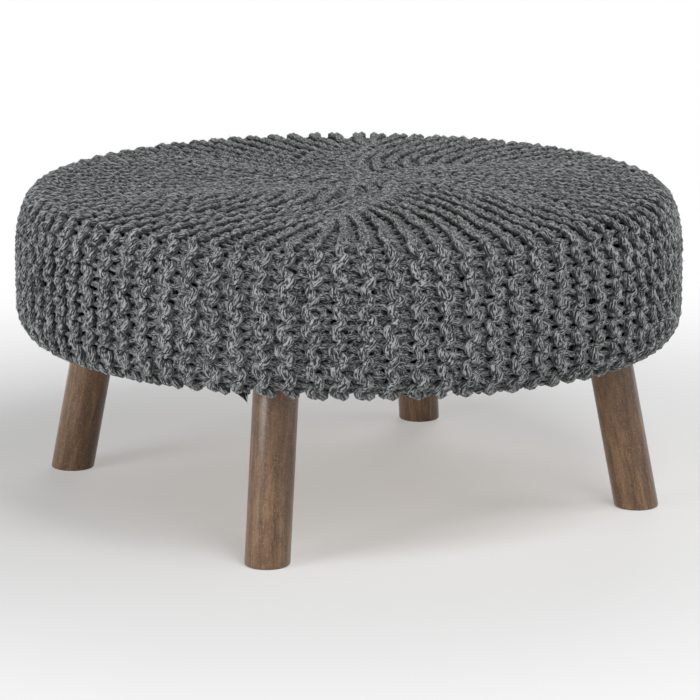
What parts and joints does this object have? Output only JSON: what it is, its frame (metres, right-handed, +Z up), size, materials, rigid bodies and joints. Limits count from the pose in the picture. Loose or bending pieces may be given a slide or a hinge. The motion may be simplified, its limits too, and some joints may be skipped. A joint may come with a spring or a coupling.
{
  "type": "round knitted floor ottoman with splayed wooden legs",
  "caption": "Low round ottoman: a crowned, filled cushion in a bulky garter-stitch knitted cover, on a base board with splayed round dowel legs.",
  "frame": {"origin": "on the floor, under the centre of the seat", "axes": "+Z up; +X to the right and +Y to the back, with the legs on the diagonals between them"},
  "size_m": [0.8, 0.8, 0.387],
  "materials": {
    "knitted_yarn": "matt, heathered charcoal bulky yarn in garter stitch, lightly fuzzy",
    "stained_wood": "walnut-brown stain, satin, fine lengthwise grain",
    "plywood": "plain sanded plywood, matt"
  },
  "bodies": {
    "root": {"seat": "knitted_yarn", "base_board": "plywood", "leg_front_left": "stained_wood", "leg_front_right": "stained_wood", "leg_back_left": "stained_wood", "leg_back_right": "stained_wood"}
  },
  "joints": []
}
